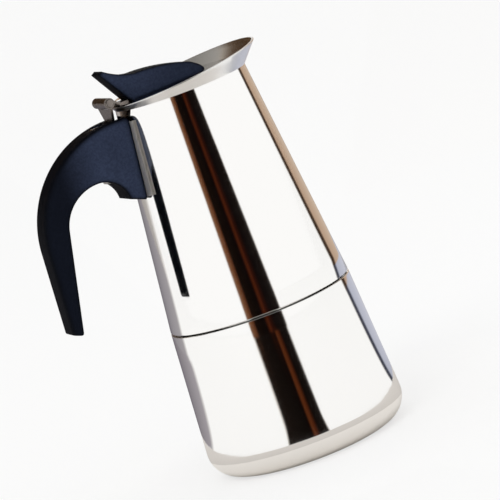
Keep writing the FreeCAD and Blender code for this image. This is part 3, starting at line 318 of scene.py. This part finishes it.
def black_bakelite():
    """Phenolic moulding: matt, with a fine grain and clouds; painted light makes the sides that face along
    Y and the handle's root paler and bluer, and painted shade leaves the rounded edges and the grip darker.
    """
    material, tree = new_material("moulded_black_bakelite")
    finishes = bpy.context.scene.pot_finishes
    place = add_node(tree, "ShaderNodeTexCoord")
    # mould grain, drawn about 1 mm across so that it shows, and clouds about 15 mm across
    grain = add_node(
        tree, "ShaderNodeTexNoise", inputs={"Scale": 1000.0, "Detail": 3.0},
        links={"Vector": place.outputs["Object"]})
    cloud = add_node(
        tree, "ShaderNodeTexNoise", inputs={"Scale": 70.0, "Detail": 2.0},
        links={"Vector": place.outputs["Object"]})
    # painted light: a side of the moulding that faces along Y gets the paler tone, and painted shade
    # darkens its edges, which turn away from there over their rounding
    rounded = add_node(tree, "ShaderNodeBevel", settings={"samples": 8}, inputs={"Radius": EDGE_ROUNDING})
    turned = add_node(
        tree, "ShaderNodeVectorTransform",
        settings={"vector_type": "NORMAL", "convert_from": "WORLD", "convert_to": "OBJECT"},
        links={"Vector": rounded.outputs["Normal"]})
    facing = add_node(tree, "ShaderNodeSeparateXYZ", links={"Vector": turned.outputs["Vector"]})
    sideways = add_node(
        tree, "ShaderNodeMath", settings={"operation": "ABSOLUTE"}, links={0: facing.outputs["Y"]})
    lit_side_share = add_node(
        tree, "ShaderNodeMapRange", inputs={"From Min": 0.55, "From Max": 0.98},
        links={"Value": sideways.outputs["Value"]})
    # painted light makes it paler near the steel, and painted shade darker along the grip
    along = add_node(tree, "ShaderNodeSeparateXYZ", links={"Vector": place.outputs["Object"]})
    near = add_node(
        tree, "ShaderNodeMapRange", settings={"interpolation_type": "SMOOTHSTEP"},
        inputs={"From Min": SHADED_GRIP_END, "From Max": LIT_ROOT_START, **to_range((GRIP_PAINTED_LIGHT, 1.0))},
        links={"Value": along.outputs["X"]})
    cloudy = add_node(
        tree, "ShaderNodeMapRange", inputs={"From Min": 0.25, "From Max": 0.75, **to_range(CLOUD_TONE)},
        links={"Value": cloud.outputs["Fac"]})
    lit_root_and_clouds = add_node(
        tree, "ShaderNodeMath", settings={"operation": "MULTIPLY"},
        links={0: near.outputs["Result"], 1: cloudy.outputs["Result"]})
    speckled = add_node(
        tree, "ShaderNodeMapRange", inputs={"From Min": 0.35, "From Max": 0.65, **to_range(GRAIN_TONE)},
        links={"Value": grain.outputs["Fac"]})
    lit_root_clouds_and_grain = add_node(
        tree, "ShaderNodeMath", settings={"operation": "MULTIPLY"},
        links={0: lit_root_and_clouds.outputs["Value"], 1: speckled.outputs["Result"]})
    # painted light and shade, with the clouds and the grain, set the share of the paler tone and the
    # roughness
    matt = add_node(
        tree, "ShaderNodeMath", settings={"operation": "MULTIPLY"},
        links={0: lit_side_share.outputs["Result"], 1: lit_root_clouds_and_grain.outputs["Value"]})
    # the black of the moulding mixed with the paler tone of painted light
    tone = add_node(
        tree, "ShaderNodeMix", settings={"data_type": "RGBA"},
        inputs={6: linear(finishes.bakelite), 7: linear(finishes.bloom)},
        links={"Factor": matt.outputs["Value"]})
    rough = add_node(
        tree, "ShaderNodeMapRange", inputs=to_range(BAKELITE_ROUGHNESS),
        links={"Value": matt.outputs["Value"]})
    bump = add_node(
        tree, "ShaderNodeBump", inputs={"Strength": 0.20, "Distance": 0.0003},
        links={"Height": grain.outputs["Fac"], "Normal": rounded.outputs["Normal"]})
    shader = add_node(
        tree, "ShaderNodeBsdfPrincipled",
        inputs={"Specular IOR Level": BAKELITE_SHEEN},
        links={"Base Color": tone.outputs[2], "Roughness": rough.outputs["Result"]})
    finish_material(tree, shader, bump.outputs["Normal"])
    return material


def turned_brass():
    """Brass, turned on a lathe: warm metal with fine turning marks."""
    material, tree = new_material("turned_brass")
    place = add_node(tree, "ShaderNodeTexCoord")
    # tool marks about 0.3 mm apart along the valve's length
    marks = add_node(
        tree, "ShaderNodeTexWave", settings={"bands_direction": "Y"},
        inputs={"Scale": 500.0, "Distortion": 0.6}, links={"Vector": place.outputs["Object"]})
    rough = add_node(
        tree, "ShaderNodeMapRange", inputs=to_range(BRASS_ROUGHNESS),
        links={"Value": marks.outputs["Fac"]})
    bump = add_node(
        tree, "ShaderNodeBump", inputs={"Strength": 0.05, "Distance": 0.0002},
        links={"Height": marks.outputs["Fac"]})
    shader = add_node(
        tree, "ShaderNodeBsdfPrincipled",
        inputs={"Base Color": linear(bpy.context.scene.pot_finishes.brass), "Metallic": 1.0},
        links={"Roughness": rough.outputs["Result"]})
    finish_material(tree, shader, bump.outputs["Normal"])
    return material


def white_silicone():
    """Silicone rubber, moulded: matt, slightly translucent white with a soft bloom."""
    material, tree = new_material("moulded_white_silicone")
    place = add_node(tree, "ShaderNodeTexCoord")
    bloom = add_node(
        tree, "ShaderNodeTexNoise", inputs={"Scale": 250.0, "Detail": 3.0},
        links={"Vector": place.outputs["Object"]})
    rough = add_node(
        tree, "ShaderNodeMapRange", inputs=to_range(SILICONE_ROUGHNESS),
        links={"Value": bloom.outputs["Fac"]})
    bump = add_node(
        tree, "ShaderNodeBump", inputs={"Strength": 0.08, "Distance": 0.0003},
        links={"Height": bloom.outputs["Fac"]})
    shader = add_node(
        tree, "ShaderNodeBsdfPrincipled",
        inputs={
            "Base Color": linear(bpy.context.scene.pot_finishes.silicone), "IOR": 1.41,
            "Subsurface Weight": 0.15, "Subsurface Radius": (0.002, 0.002, 0.002)},
        links={"Roughness": rough.outputs["Result"]})
    finish_material(tree, shader, bump.outputs["Normal"])
    return material


# Geometry.

def link_object(name, mesh):
    """A new object at the origin for a mesh."""
    piece = bpy.data.objects.new(name, mesh)
    bpy.context.scene.collection.objects.link(piece)
    return piece


def shade_by_angle(mesh):
    """Join a mesh's triangles and shade it smooth, apart from its real edges."""
    shape = bmesh.new()
    shape.from_mesh(mesh)
    bmesh.ops.remove_doubles(shape, verts=shape.verts, dist=JOIN_DISTANCE)
    for face in shape.faces:
        face.smooth = True
    for edge in shape.edges:
        edge.smooth = len(edge.link_faces) == 2 and edge.calc_face_angle(math.pi) < SHARP_ANGLE
    shape.to_mesh(mesh)
    shape.free()
    if "custom_normal" in mesh.attributes:
        mesh.attributes.remove(mesh.attributes["custom_normal"])


def smooth_copy(node, material):
    """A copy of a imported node, joined and shaded smooth."""
    mesh = frame["nodes"][node].data.copy()
    mesh.name = f"{node}_finish"
    shade_by_angle(mesh)
    mesh.materials.clear()
    mesh.materials.append(material)
    return link_object(f"{node}_finish", mesh)


def stand_for(piece, node):
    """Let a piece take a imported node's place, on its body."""
    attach(piece, BODY_OF[node])
    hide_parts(node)


def finish_nodes(nodes, material):
    """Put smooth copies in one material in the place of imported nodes."""
    for node in nodes:
        stand_for(smooth_copy(node, material), node)


def shape_knob(mesh):
    """Draw the knob's nose down to a slim tip and draw its tail in, as the photograph shows them."""
    low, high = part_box("lid_grip")
    for vertex in mesh.vertices:
        if vertex.co.x < TAIL_FROM:
            vertex.co.x = TAIL_FROM + (vertex.co.x - TAIL_FROM) * TAIL_LENGTH
        along = (vertex.co.x - NOSE_FROM) / (high[0] - NOSE_FROM)
        if along > 0:
            vertex.co.z = low[2] + (vertex.co.z - low[2]) * (1 - NOSE_DROOP * along * along)


def plain_mesh(piece):
    """Apply a piece's modifiers, so that it is a plain mesh."""
    evaluated = piece.evaluated_get(bpy.context.evaluated_depsgraph_get())
    mesh = bpy.data.meshes.new_from_object(evaluated)
    mesh.name = piece.name
    piece.modifiers.clear()
    piece.data = mesh


def cut_cross(piece, middle, span, rise):
    """Cut a cross for a screwdriver into a screw's head, from a point on its face inwards by rise."""
    half = bpy.context.scene.pot_sizes.cross_width / 2
    corner = [(half, half), (half, span), (-half, span)]
    outline = []
    for turn in range(4):
        spin = Matrix.Rotation(turn * math.pi / 2, 2)
        outline += [spin @ Vector(point) for point in corner]
    cutter = bmesh.new()
    levels = (middle - Vector((0, 0, rise)), middle + Vector((0, 0, rise)))
    for level in levels:
        ring = [cutter.verts.new((level.x + p.x, level.y + p.y, level.z)) for p in outline]
        cutter.faces.new(ring)
    count = len(outline)
    cutter.verts.ensure_lookup_table()
    for index in range(count):
        after = (index + 1) % count
        sides = (index, after, count + after, count + index)
        cutter.faces.new([cutter.verts[place] for place in sides])
    bmesh.ops.recalc_face_normals(cutter, faces=cutter.faces)
    mesh = bpy.data.meshes.new("cross_cutter")
    cutter.to_mesh(mesh)
    cutter.free()
    tool = link_object("cross_cutter", mesh)
    modifier = piece.modifiers.new("cross", "BOOLEAN")
    modifier.object = tool
    plain_mesh(piece)
    shade_by_angle(piece.data)
    bpy.data.objects.remove(tool)
    bpy.data.meshes.remove(mesh)


def thread_tree(material):
    """Node tree of a rolled thread: a round profile along a helix."""
    tree = bpy.data.node_groups.new("rolled_thread", "GeometryNodeTree")
    tree.interface.new_socket("Geometry", in_out="OUTPUT", socket_type="NodeSocketGeometry")
    for name in ("Radius", "Ridge", "Pitch", "Turns", "Start"):
        tree.interface.new_socket(name, in_out="INPUT", socket_type="NodeSocketFloat")
    inputs = add_node(tree, "NodeGroupInput").outputs
    height = add_node(
        tree, "ShaderNodeMath", settings={"operation": "MULTIPLY"},
        links={0: inputs["Pitch"], 1: inputs["Turns"]})
    helix = add_node(
        tree, "GeometryNodeCurveSpiral", inputs={"Resolution": 96},
        links={
            "Rotations": inputs["Turns"], "Start Radius": inputs["Radius"], "End Radius": inputs["Radius"],
            "Height": height.outputs[0]})
    upright = add_node(
        tree, "GeometryNodeSetCurveNormal", settings={"mode": "Z_UP"},
        links={"Curve": helix.outputs["Curve"]})
    lift = add_node(tree, "ShaderNodeCombineXYZ", links={"Z": inputs["Start"]})
    place = add_node(
        tree, "GeometryNodeTransform",
        links={"Geometry": upright.outputs["Curve"], "Translation": lift.outputs["Vector"]})
    profile = add_node(
        tree, "GeometryNodeCurvePrimitiveCircle", inputs={"Resolution": 12},
        links={"Radius": inputs["Ridge"]})
    ridge = add_node(
        tree, "GeometryNodeCurveToMesh", inputs={"Fill Caps": True},
        links={"Curve": place.outputs["Geometry"], "Profile Curve": profile.outputs["Curve"]})
    real = add_node(tree, "GeometryNodeRealizeInstances", links={"Geometry": ridge.outputs["Mesh"]})
    painted = add_node(
        tree, "GeometryNodeSetMaterial", inputs={"Material": material},
        links={"Geometry": real.outputs["Geometry"]})
    add_node(tree, "NodeGroupOutput", links={"Geometry": painted.outputs["Geometry"]})
    return tree


def roll_thread(name, body, tree, values):
    """One thread's ridge as a plain mesh that rides on a body."""
    piece = link_object(name, bpy.data.meshes.new(name))
    modifier = piece.modifiers.new("thread", "NODES")
    modifier.node_group = tree
    for item in tree.interface.items_tree:
        if item.in_out == "INPUT":
            modifier[item.identifier] = values[item.name]
    plain_mesh(piece)
    shade_by_angle(piece.data)
    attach(piece, body)


class POT_OT_polish_shells(bpy.types.Operator):
    """Polish the boiler, the collector and the lid"""
    bl_idname = "pot.polish_shells"
    bl_label = "Polish Shells"

    def execute(self, context):
        finish_nodes(POLISHED_NODES, polished_steel())
        return {"FINISHED"}


class POT_OT_finish_sheet(bpy.types.Operator):
    """Finish the pressed and welded steel pieces, and the pouring collar inside and out"""
    bl_idname = "pot.finish_sheet"
    bl_label = "Finish Sheet Steel"

    def execute(self, context):
        finishes = context.scene.pot_finishes
        satin = satin_steel("satin_stainless_steel", finishes.satin, SATIN_ROUGHNESS)
        blasted = satin_steel("blasted_stainless_steel", finishes.blasted, BLASTED_ROUGHNESS)
        # tumbled roughness, with a darker colour that is painted shade
        tumbled_and_shaded = satin_steel("tumbled_steel_painted_shade", finishes.hinge, TUMBLED_ROUGHNESS)
        buffed = satin_steel("buffed_stainless_steel", finishes.steel, BUFFED_ROUGHNESS)
        finish_nodes(SHEET_NODES, satin)
        finish_nodes(("handle_bracket",), blasted)
        finish_nodes(HINGE_NODES, tumbled_and_shaded)
        # the collar is buffed outside and satin inside
        collar = smooth_copy("pour_collar", satin)
        collar.data.materials.append(buffed)
        for face in collar.data.polygons:
            out = Vector((face.center.x, face.center.y, 0.0))
            face.material_index = 1 if face.normal.dot(out) > 0 else 0
        stand_for(collar, "pour_collar")
        return {"FINISHED"}


class POT_OT_cut_screws(bpy.types.Operator):
    """Cut the crosses into the heads of the handle's and the knob's screws"""
    bl_idname = "pot.cut_screws"
    bl_label = "Cut Screws"

    def execute(self, context):
        sizes = context.scene.pot_sizes
        material = bpy.data.materials["satin_stainless_steel"]
        low, high = (Vector(corner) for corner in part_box("handle_screw"))
        screw = smooth_copy("handle_screw", material)
        top = Vector(((low.x + high.x) / 2, (low.y + high.y) / 2, high.z))
        cut_cross(screw, top, CROSS_SHARE * (high.x - low.x) / 2, sizes.cross_depth)
        stand_for(screw, "handle_screw")
        low, high = (Vector(corner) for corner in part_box("lid_grip_screws"))
        screws = smooth_copy("lid_grip_screws", material)
        head = (high.y - low.y) / 2
        for x in (low.x + head, high.x - head):
            face = Vector((x, (low.y + high.y) / 2, low.z))
            cut_cross(screws, face, CROSS_SHARE * head, sizes.cross_depth)
        stand_for(screws, "lid_grip_screws")
        return {"FINISHED"}


class POT_OT_roll_threads(bpy.types.Operator):
    """Roll the thread on the boiler's neck and in the collector's ring"""
    bl_idname = "pot.roll_threads"
    bl_label = "Roll Threads"

    def execute(self, context):
        sizes = context.scene.pot_sizes
        tree = thread_tree(bpy.data.materials["polished_stainless_steel"])
        ring_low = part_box("thread_ring")[0][2]
        # the funnel's flange is as wide as the neck, and the seal sits in the ring's bore
        # with a gap all round
        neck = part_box("funnel_basket")[1][0]
        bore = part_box("gasket")[1][0] + GASKET_INSET
        common = {"Pitch": sizes.thread_pitch, "Turns": sizes.thread_turns}
        start = ring_low + sizes.ridge_start
        roll_thread(
            "neck_thread", "boiler", tree,
            {"Radius": neck, "Ridge": sizes.neck_ridge, "Start": start, **common})
        between = start + sizes.thread_pitch / 2
        roll_thread(
            "ring_thread", "collector", tree,
            {"Radius": bore, "Ridge": sizes.ring_ridge, "Start": between, **common})
        return {"FINISHED"}


class POT_OT_mould_bakelite(bpy.types.Operator):
    """Finish the moulded handle and lid knob"""
    bl_idname = "pot.mould_bakelite"
    bl_label = "Mould Handle and Knob"

    def execute(self, context):
        material = black_bakelite()
        finish_nodes(("handle",), material)
        knob = smooth_copy("lid_grip", material)
        shape_knob(knob.data)
        stand_for(knob, "lid_grip")
        return {"FINISHED"}


class POT_OT_turn_valve(bpy.types.Operator):
    """Finish the brass safety valve"""
    bl_idname = "pot.turn_valve"
    bl_label = "Turn Valve"

    def execute(self, context):
        finish_nodes(BRASS_NODES, turned_brass())
        return {"FINISHED"}


class POT_OT_coil_spring(bpy.types.Operator):
    """Finish the valve's spring, which shortens as the plunger slides"""
    bl_idname = "pot.coil_spring"
    bl_label = "Coil Spring"

    def execute(self, context):
        spring = smooth_copy("valve_spring", bpy.data.materials["satin_stainless_steel"])
        stand_for(spring, "valve_spring")
        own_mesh(spring)
        return {"FINISHED"}


class POT_OT_fit_seals(bpy.types.Operator):
    """Finish the silicone seals"""
    bl_idname = "pot.fit_seals"
    bl_label = "Fit Seals"

    def execute(self, context):
        finish_nodes(SILICONE_NODES, white_silicone())
        return {"FINISHED"}


# Stage.

def seen_rays(tree):
    """1 for the eye, for reflections and through glass, and 0 for the rays that only light things."""
    path = add_node(tree, "ShaderNodeLightPath")
    mirrored = add_node(
        tree, "ShaderNodeMath", settings={"operation": "MAXIMUM"},
        links={0: path.outputs["Is Glossy Ray"], 1: path.outputs["Is Transmission Ray"]})
    seen = add_node(
        tree, "ShaderNodeMath", settings={"operation": "MAXIMUM"},
        links={0: path.outputs["Is Camera Ray"], 1: mirrored.outputs["Value"]})
    return seen.outputs["Value"]


def studio_world(stage):
    """White surroundings for the eye and for reflections, and an even soft light from them."""
    world = bpy.data.worlds.new("studio")
    bpy.context.scene.world = world
    world.use_nodes = True
    tree = world.node_tree
    tree.nodes.clear()
    level = add_node(
        tree, "ShaderNodeMix", inputs={"A": stage.fill, "B": 1.0}, links={"Factor": seen_rays(tree)})
    back = add_node(
        tree, "ShaderNodeBackground", inputs={"Color": (1.0, 1.0, 1.0, 1.0)},
        links={"Strength": level.outputs["Result"]})
    add_node(tree, "ShaderNodeOutputWorld", links={"Surface": back.outputs["Background"]})


def key_light(stage):
    """One large soft lamp over the camera's left shoulder, kept out of the mirror steel."""
    data = bpy.data.lights.new("key", "AREA")
    data.size = stage.key_size
    data.energy = stage.key_power
    lamp = bpy.data.objects.new("key", data)
    place = Vector(stage.key_place)
    lamp.location = place
    lamp.rotation_euler = (Vector((0, 0, stage.aim_height)) - place).to_track_quat("-Z", "Y").to_euler()
    lamp.visible_glossy = False
    lamp.visible_camera = False
    bpy.context.scene.collection.objects.link(lamp)


def card_material(name, colours):
    """Matt card whose colours follow its attribute 'across'."""
    material, tree = new_material(name)
    across = add_node(tree, "ShaderNodeAttribute", settings={"attribute_name": "across"})
    ramp = add_node(tree, "ShaderNodeValToRGB", links={"Fac": across.outputs["Fac"]})
    stops = ramp.color_ramp.elements
    for place, _ in colours[1:-1]:
        stops.new(place)
    for stop, (place, colour) in zip(stops, colours):
        stop.position = place
        stop.color = linear(colour)
    shader = add_node(
        tree, "ShaderNodeBsdfPrincipled", inputs={"Roughness": 1.0, "Specular IOR Level": 0.0},
        links={"Base Color": ramp.outputs["Color"]})
    finish_material(tree, shader)
    return material


def show_in_mirrors(card):
    """Show a card in reflections alone, so that it neither shades nor tints the pot and the floor."""
    card.visible_camera = False
    card.visible_diffuse = False
    card.visible_shadow = False


def ceiling_card(stage):
    """A matt ceiling for the reflections, dim overhead and white towards the horizon."""
    material, tree = new_material("ceiling_card")
    place = add_node(tree, "ShaderNodeTexCoord")
    reach = add_node(
        tree, "ShaderNodeVectorMath", settings={"operation": "LENGTH"},
        links={0: place.outputs["Object"]})
    steepness = add_node(
        tree, "ShaderNodeMath", settings={"operation": "DIVIDE"}, inputs={0: CEILING_HEIGHT},
        links={1: reach.outputs["Value"]})
    tone = add_node(
        tree, "ShaderNodeMapRange",
        inputs={"From Min": CEILING_FROM, "From Max": 1.0, "To Min": 1.0, "To Max": stage.ceiling},
        links={"Value": steepness.outputs["Value"]})
    shader = add_node(
        tree, "ShaderNodeBsdfPrincipled", inputs={"Roughness": 1.0, "Specular IOR Level": 0.0},
        links={"Base Color": tone.outputs["Result"]})
    finish_material(tree, shader)
    half = CEILING_HEIGHT / CEILING_FROM
    corners = [(-half, -half), (-half, half), (half, half), (half, -half)]
    mesh = bpy.data.meshes.new("ceiling_card")
    mesh.from_pydata([(x, y, CEILING_HEIGHT) for x, y in corners], [], [(0, 1, 2, 3)])
    mesh.materials.append(material)
    show_in_mirrors(link_object("ceiling_card", mesh))


def reflection_cards(stage):
    """Dark, tan and grey cards and mats round the pot, and pale grey rings of painted shadow round its
    base, seen only in its reflections.

    Each goes from one angle to another, counted from the camera's direction to its right. It stands
    upright, or lies on the floor if its top is no higher than its foot.
    """
    for name, start, end, near, far, foot, top, colours in CARDS:
        points = []
        for step in range(CARD_STEPS + 1):
            angle = stage.azimuth + math.radians(start + (end - start) * step / CARD_STEPS)
            out = Vector((math.sin(angle), -math.cos(angle), 0.0))
            points += [out * near + Vector((0, 0, foot)), out * far + Vector((0, 0, top))]
        faces = [(2 * n, 2 * n + 1, 2 * n + 3, 2 * n + 2) for n in range(CARD_STEPS)]
        mesh = bpy.data.meshes.new(name)
        mesh.from_pydata(points, [], faces)
        across = mesh.attributes.new("across", "FLOAT", "POINT")
        across.data.foreach_set("value", [n // 2 / CARD_STEPS for n in range(len(points))])
        mesh.materials.append(card_material(name, colours))
        show_in_mirrors(link_object(name, mesh))


def studio_floor(stage):
    """A wide pale floor that keeps the pot's shadow."""
    half = stage.floor_size / 2
    mesh = bpy.data.meshes.new("floor")
    corners = [(-half, -half, 0), (half, -half, 0), (half, half, 0), (-half, half, 0)]
    mesh.from_pydata(corners, [], [(0, 1, 2, 3)])
    material, tree = new_material("pale_floor")
    matt = add_node(
        tree, "ShaderNodeBsdfPrincipled", inputs={"Base Color": linear(stage.floor), "Roughness": 0.9})
    white = add_node(tree, "ShaderNodeEmission", inputs={"Color": (1.0, 1.0, 1.0, 1.0), "Strength": 1.0})
    share = add_node(
        tree, "ShaderNodeMath", settings={"operation": "MULTIPLY"}, inputs={1: stage.floor_white},
        links={0: seen_rays(tree)})
    both = add_node(
        tree, "ShaderNodeMixShader",
        links={0: share.outputs["Value"], 1: matt.outputs["BSDF"], 2: white.outputs["Emission"]})
    add_node(tree, "ShaderNodeOutputMaterial", links={"Surface": both.outputs["Shader"]})
    mesh.materials.append(material)
    floor = link_object("floor", mesh)


def studio_camera(stage):
    """A long lens at the photograph's angle, rolled as the pot leans there."""
    a, e = stage.azimuth, stage.elevation
    back = Vector((math.sin(a) * math.cos(e), -math.cos(a) * math.cos(e), math.sin(e)))
    right = Vector((math.cos(a), math.sin(a), 0.0))
    up = back.cross(right)
    turned_right = right * math.cos(stage.roll) - up * math.sin(stage.roll)
    turned_up = right * math.sin(stage.roll) + up * math.cos(stage.roll)
    data = bpy.data.cameras.new("camera")
    data.lens = stage.focal_length
    data.shift_x, data.shift_y = stage.shift
    data.clip_end = 2 * stage.floor_size
    camera = bpy.data.objects.new("camera", data)
    turn = Matrix((turned_right, turned_up, back)).transposed().to_4x4()
    place = Vector((0, 0, stage.aim_height)) + back * stage.distance
    camera.matrix_world = Matrix.Translation(place) @ turn
    bpy.context.scene.collection.objects.link(camera)
    bpy.context.scene.camera = camera


class POT_OT_set_stage(bpy.types.Operator):
    """Set the floor, the light and the camera"""
    bl_idname = "pot.set_stage"
    bl_label = "Set Stage"

    def execute(self, context):
        stage = context.scene.pot_stage
        context.scene.view_settings.view_transform = "Standard"
        studio_world(stage)
        key_light(stage)
        ceiling_card(stage)
        reflection_cards(stage)
        studio_floor(stage)
        studio_camera(stage)
        return {"FINISHED"}


class POT_PT_coffee_pot(bpy.types.Panel):
    """Lists the steps in the 3D view's sidebar"""
    bl_idname = "POT_PT_coffee_pot"
    bl_label = "Coffee Pot"
    bl_space_type = "VIEW_3D"
    bl_region_type = "UI"
    bl_category = "Coffee Pot"

    def draw(self, context):
        for operator in OPERATORS:
            self.layout.operator(operator.bl_idname)


OPERATORS = (
    POT_OT_polish_shells, POT_OT_finish_sheet, POT_OT_cut_screws, POT_OT_roll_threads,
    POT_OT_mould_bakelite, POT_OT_turn_valve, POT_OT_coil_spring, POT_OT_fit_seals, POT_OT_set_stage)
SETTINGS = {"pot_finishes": PotFinishes, "pot_sizes": PotSizes, "pot_stage": PotStage}


def register():
    """Register the settings, the operators and the panel."""
    for name, group in SETTINGS.items():
        bpy.utils.register_class(group)
        setattr(bpy.types.Scene, name, bpy.props.PointerProperty(type=group))
    for operator in OPERATORS:
        bpy.utils.register_class(operator)
    bpy.utils.register_class(POT_PT_coffee_pot)


def unregister():
    """Take away what register added."""
    bpy.utils.unregister_class(POT_PT_coffee_pot)
    for operator in reversed(OPERATORS):
        bpy.utils.unregister_class(operator)
    for name, group in SETTINGS.items():
        delattr(bpy.types.Scene, name)
        bpy.utils.unregister_class(group)


def main():
    """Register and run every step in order."""
    register()
    for operator in OPERATORS:
        group, step = operator.bl_idname.split(".")
        getattr(getattr(bpy.ops, group), step)()


if __name__ == "__main__":
    main()
